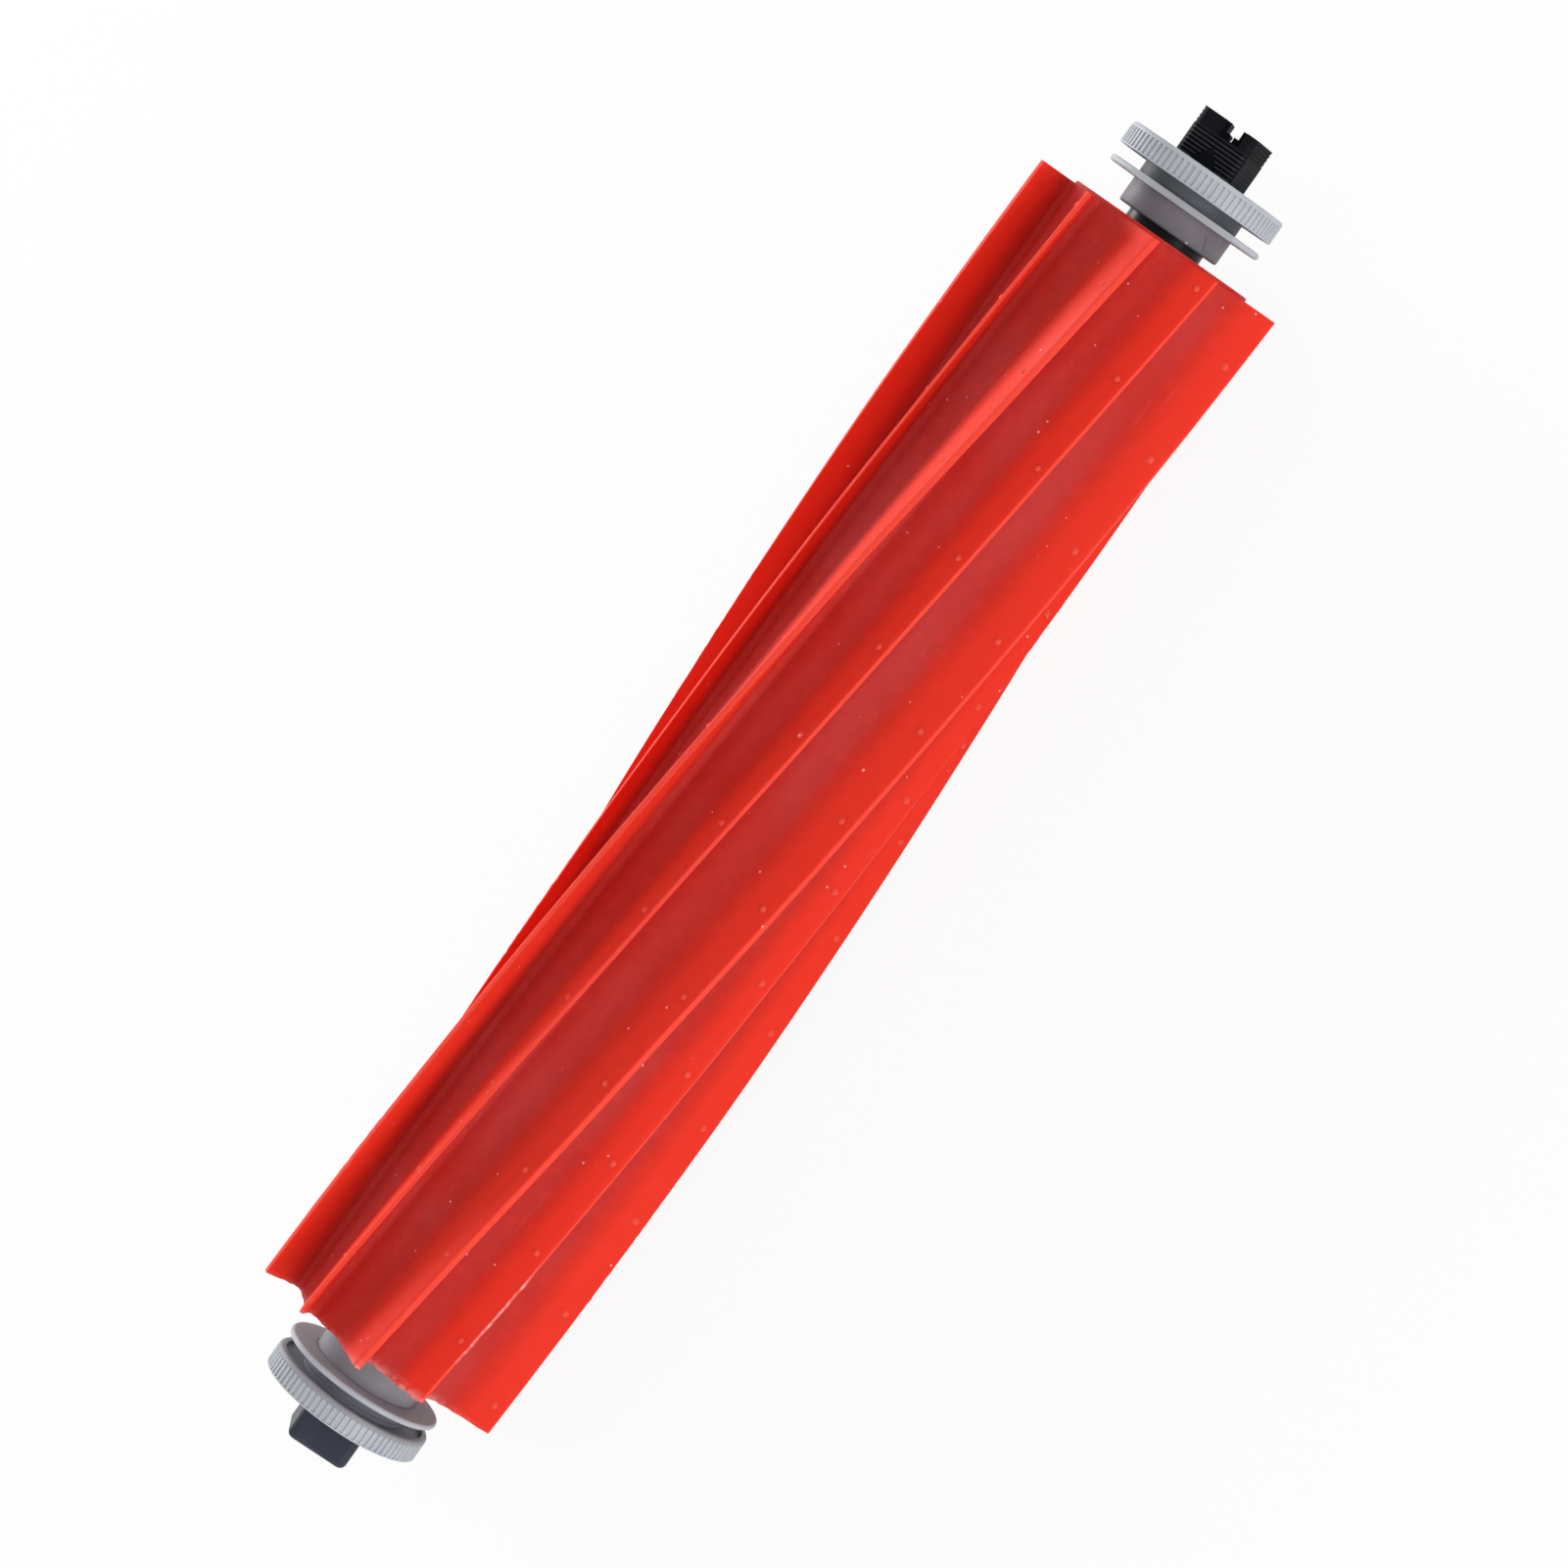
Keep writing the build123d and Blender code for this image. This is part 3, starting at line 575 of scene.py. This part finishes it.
def spool_painted_shade(tree, colour):
    """Painted shade on the spools, where the flanges, wheels and sleeve keep the light out: on the hubs,
    more at the drive end, and darkest in the grooves and on the wheels' recessed faces. At the idle end
    the wheel's inner rim has some too."""
    xyz, radius = around_axis(tree, object_coords(tree))
    out = calc(tree, "ABSOLUTE", xyz[0])
    drive = ramp(tree, xyz[0], -1 * MM, 1 * MM)

    def zone(value, edge, width, start, end):
        return ramp(tree, value, edge * MM, (edge + width) * MM, start, end)

    inner = zone(radius, HUB_EDGE, 0.25, 1.0, 0.0)
    hub = times(tree, inner, zone(out, FLANGE_OUT, 0.2, 1.0, 0.0))
    hub = times(tree, hub, ramp(tree, drive, 0.0, 1.0, 0.5, 0.85))
    face = times(tree, zone(radius, RECESS_EDGE, 0.07, 1.0, 0.0), zone(out, WHEEL_OUT, 0.2, 0.0, 1.0))
    face = times(tree, face, zone(out, RECESS_OUT, 0.2, 1.0, 0.0))
    groove = times(tree, inner, zone(out, FLANGE_OUT, 0.2, 0.0, 1.0))
    groove = calc(tree, "MAXIMUM", groove, face)
    rim = times(tree, zone(radius, RECESS_EDGE, 0.07, 0.0, 1.0), zone(out, WHEEL_OUT + 0.2, 0.1, 0.0, 1.0))
    rim = times(tree, rim, zone(out, RECESS_OUT, 0.15, 0.5, 0.0))
    rim = times(tree, rim, ramp(tree, drive, 0.0, 1.0, 1.0, 0.0))
    # Painted shade: the hubs and the idle wheel's inner rim darkened to a mauve grey
    colour = mix(tree, calc(tree, "MAXIMUM", hub, rim), colour, (0.175, 0.150, 0.175, 1))
    # Painted shade: the grooves and recessed faces darkest, in a bluish grey
    shade = mix(tree, drive, (0.230, 0.225, 0.270, 1), (0.110, 0.120, 0.142, 1))
    return mix(tree, times(tree, groove, 0.9), colour, shade)


def ridge_painted_highlights(tree, colour):
    """Painted highlights: pale lines on the drive peg's ridges where they catch the light, clear of the
    smooth arrow and the end, and faint on the faces beside the ridged one."""
    xyz = put(tree, "ShaderNodeSeparateXYZ", {0: object_coords(tree)}).outputs
    along = calc(tree, "SUBTRACT", xyz[0], RIDGE_START * MM)
    along = calc(tree, "DIVIDE", along, RIDGE_PITCH * MM)
    wave = calc(tree, "ABSOLUTE", calc(tree, "SUBTRACT", calc(tree, "FRACT", along), 0.5))
    line = ramp(tree, wave, 0.30, 0.46)
    line = times(tree, line, ramp(tree, along, 0.0, 0.1))
    line = times(tree, line, ramp(tree, along, RIDGE_COUNT - 0.1, RIDGE_COUNT, 1.0, 0.0))
    sine = float(np.sin(np.radians(PEG_ANGLE)))
    cosine = float(np.cos(np.radians(PEG_ANGLE)))
    depth = calc(tree, "ADD", times(tree, xyz[1], cosine), times(tree, xyz[2], sine))
    across = calc(tree, "ADD", times(tree, xyz[1], -sine), times(tree, xyz[2], cosine))
    face = ramp(tree, depth, PEG_FACE * MM, (PEG_FACE + 0.15) * MM, 0.25, 1.0)
    line = times(tree, line, face)
    arrow = ramp(tree, along, 0.0, ARROW_RIDGES, ARROW_HALF_WIDTH * MM, 0.0)
    beside = calc(tree, "SUBTRACT", calc(tree, "ABSOLUTE", across), arrow)
    line = times(tree, line, ramp(tree, beside, 0.0, 0.1 * MM))
    # Painted highlight: the ridges' lines lighter than the black plastic
    return mix(tree, times(tree, line, 0.85), colour, (0.060, 0.063, 0.070, 1))


def moulded_plastic(
    name, dark, light, rough, grain, subsurface=0.0, dust=0.02, specular=0.5, painted_light=None
):
    """Moulded plastic: two close tones, uneven gloss, fine grain, dust and faint scratches. A function
    given for painted light paints highlights or shade over the tones."""
    material, tree, shader = new_material(name)
    coords = object_coords(tree)
    cloud = noise(tree, coords, 180.0, 4.0)
    colour = mix(tree, ramp(tree, cloud, 0.35, 0.65), (*dark, 1), (*light, 1))
    # Painted highlights or painted shade from the given function
    if painted_light:
        colour = painted_light(tree, colour)
    specks = use_group(tree, DUST, Density=dust, Scale=900.0)
    pale = tuple(min(1.0, c * 1.5 + 0.12) for c in light)
    colour = mix(tree, times(tree, specks, 0.6), colour, (*pale, 1))
    scuffs = use_group(tree, SCRATCHES, Scale=420.0, Amount=0.7)
    colour = mix(tree, times(tree, scuffs, 0.25), colour, (*pale, 1))
    tree.links.new(colour, shader.inputs["Base Color"])
    gloss = ramp(tree, cloud, 0.3, 0.7, rough - 0.05, rough + 0.06)
    gloss = calc(tree, "ADD", gloss, times(tree, scuffs, 0.15))
    tree.links.new(gloss, shader.inputs["Roughness"])
    normal = use_group(tree, GRAIN, Scale=3200.0, Strength=grain, Height=0.0)
    tree.links.new(normal, shader.inputs["Normal"])
    shader.inputs["Subsurface Weight"].default_value = subsurface
    shader.inputs["Subsurface Radius"].default_value = (0.9, 0.9, 1.0)
    shader.inputs["Subsurface Scale"].default_value = 0.6 * MM
    shader.inputs["Specular IOR Level"].default_value = specular
    return material


def steel(name, tone, rough):
    """Ground steel: fine turned lines about the brush's axis, and faint stains."""
    material, tree, shader = new_material(name)
    coords = object_coords(tree)
    xyz, radius = around_axis(tree, coords)
    across = put(tree, "ShaderNodeCombineXYZ", {0: xyz[0], 1: radius}).outputs[0]
    lines = noise(tree, across, 6000.0, 2.0)
    stain = noise(tree, coords, 300.0, 4.0)
    light = tuple(min(1.0, tone * k) for k in (1.0, 1.0, 1.02))
    dark = tuple(tone * k for k in (0.80, 0.78, 0.75))
    colour = mix(tree, ramp(tree, stain, 0.4, 0.7), (*light, 1), (*dark, 1))
    tree.links.new(colour, shader.inputs["Base Color"])
    gloss = ramp(tree, lines, 0.3, 0.7, rough - 0.06, rough + 0.08)
    tree.links.new(gloss, shader.inputs["Roughness"])
    normal = use_group(tree, GRAIN, Scale=5000.0, Strength=0.08, Height=lines)
    tree.links.new(normal, shader.inputs["Normal"])
    shader.inputs["Metallic"].default_value = 1.0
    return material


def felt():
    """Pressed wool felt: short tangled hairs in two greys."""
    material, tree, shader = new_material("felt")
    coords = object_coords(tree)
    values = {"Vector": coords, "Scale": 2200.0, "Detail": 5.0, "Distortion": 2.5}
    hairs = put(tree, "ShaderNodeTexNoise", values).outputs[0]
    tone = ramp(tree, hairs, 0.35, 0.65)
    colour = mix(tree, tone, (0.16, 0.16, 0.17, 1), (0.32, 0.32, 0.33, 1))
    tree.links.new(colour, shader.inputs["Base Color"])
    shader.inputs["Roughness"].default_value = 0.95
    normal = use_group(tree, GRAIN, Scale=2200.0, Strength=0.8, Height=hairs)
    tree.links.new(normal, shader.inputs["Normal"])
    shader.inputs["Sheen Weight"].default_value = 0.4
    return material


materials = {
    "red_rubber": red_rubber(),
    "grey_plastic": moulded_plastic(
        "grey_plastic", (0.43, 0.455, 0.495), (0.48, 0.505, 0.545), 0.48, 0.06,
        subsurface=0.1, dust=0.012, specular=0.14, painted_light=spool_painted_shade
    ),
    "core_plastic": moulded_plastic(
        "core_plastic", (0.008, 0.008, 0.009), (0.014, 0.014, 0.015), 0.36, 0.15, specular=0.18
    ),
    "black_plastic": moulded_plastic(
        "black_plastic", (0.006, 0.0065, 0.008), (0.010, 0.011, 0.013), 0.55, 0.12,
        specular=0.03, painted_light=ridge_painted_highlights
    ),
    "slate_plastic": moulded_plastic(
        "slate_plastic", (0.038, 0.043, 0.060), (0.050, 0.056, 0.076), 0.40, 0.2, specular=0.12
    ),
    "cage_plastic": moulded_plastic(
        "cage_plastic", (0.60, 0.56, 0.46), (0.68, 0.64, 0.54), 0.45, 0.15, subsurface=0.1
    ),
    "bearing_steel": steel("bearing_steel", 0.62, 0.28),
    "polished_steel": steel("polished_steel", 0.85, 0.12),
    "steel": steel("steel", 0.50, 0.33),
    "felt": felt(),
}
slots = {part["node"]: part["material_slot"] for part in frame["record"]["subparts"]}
for node, shown in frame["nodes"].items():
    shown.data.materials.clear()
    shown.data.materials.append(materials[slots[node]])
sleeve.data.materials.append(materials["red_rubber"])


# Floor, light and camera
def backdrop_material():
    """A pale floor that the camera, mirrors and glass see as white, with the shadow kept."""
    material, tree, shader = new_material("pale_floor")
    shader.inputs["Base Color"].default_value = (0.92, 0.92, 0.92, 1)
    shader.inputs["Roughness"].default_value = 0.9
    glow = put(tree, "ShaderNodeEmission", {"Color": (1, 1, 1, 1), "Strength": 1.0})
    path = put(tree, "ShaderNodeLightPath")
    seen = calc(tree, "MAXIMUM", path.outputs["Is Camera Ray"], path.outputs["Is Glossy Ray"])
    seen = calc(tree, "MAXIMUM", seen, path.outputs["Is Transmission Ray"])
    values = {0: times(tree, seen, 0.92), 1: shader.outputs[0], 2: glow.outputs[0]}
    both = put(tree, "ShaderNodeMixShader", values)
    out = tree.nodes["Material Output"]
    tree.links.new(both.outputs[0], out.inputs["Surface"])
    return material


def floor():
    """A level floor as wide as any view needs."""
    mesh = bpy.data.meshes.new("floor")
    reach = 3.0
    z = FLOOR * MM
    corners = [(-reach, -reach, z), (reach, -reach, z), (reach, reach, z), (-reach, reach, z)]
    mesh.from_pydata(corners, [], [(0, 1, 2, 3)])
    piece = bpy.data.objects.new("floor", mesh)
    bpy.context.scene.collection.objects.link(piece)
    mesh.materials.append(backdrop_material())


def world():
    """Pale light, strong near the horizon and weak from above, seen as white by the camera
    and through glass."""
    scene_world = bpy.data.worlds.new("studio")
    scene_world.use_nodes = True
    bpy.context.scene.world = scene_world
    tree = scene_world.node_tree
    back = tree.nodes["Background"]
    path = put(tree, "ShaderNodeLightPath")
    seen = calc(tree, "MAXIMUM", path.outputs["Is Camera Ray"], path.outputs["Is Transmission Ray"])
    back.inputs["Color"].default_value = (1, 1, 1, 1)
    way = put(tree, "ShaderNodeTexCoord").outputs["Generated"]
    height = put(tree, "ShaderNodeSeparateXYZ", {0: way}).outputs[2]
    light = ramp(tree, height, 0.0, 0.85, WORLD_LOW, WORLD_HIGH)
    lit = calc(tree, "MAXIMUM", light, seen)
    tree.links.new(lit, back.inputs["Strength"])


def lamp(name, place, target, size, power):
    """A large soft rectangular lamp that faces its target."""
    light = bpy.data.lights.new(name, "AREA")
    light.shape = "RECTANGLE"
    light.size, light.size_y = size
    light.energy = power
    piece = bpy.data.objects.new(name, light)
    bpy.context.scene.collection.objects.link(piece)
    way = Vector(target) - Vector(place)
    piece.location = place
    piece.rotation_euler = way.to_track_quat("-Z", "Y").to_euler()


def camera():
    """The photograph's camera, placed from the fit of the wheels' rims."""
    data = bpy.data.cameras.new("camera")
    data.lens = LENS
    data.sensor_width = 36.0
    data.clip_start = 0.01
    piece = bpy.data.objects.new("camera", data)
    forward = Vector(CAMERA_FORWARD).normalized()
    up = Vector(CAMERA_UP)
    up = (up - forward * up.dot(forward)).normalized()
    right = forward.cross(up)
    turn = Matrix((right, up, -forward)).transposed().to_4x4()
    piece.matrix_world = Matrix.Translation(Vector(CAMERA_PLACE) * MM) @ turn
    bpy.context.scene.collection.objects.link(piece)
    bpy.context.scene.camera = piece


floor()
world()
lamp("key", (0.05, 0.98, 0.20), (0, 0, 0), (0.6, 0.32), 7.2)
lamp("fill", (-0.05, -0.95, 0.16), (0, 0, 0), (0.7, 0.26), 2.8)
camera()
bpy.context.scene.view_settings.view_transform = "Standard"

bpy.context.view_layer.update()
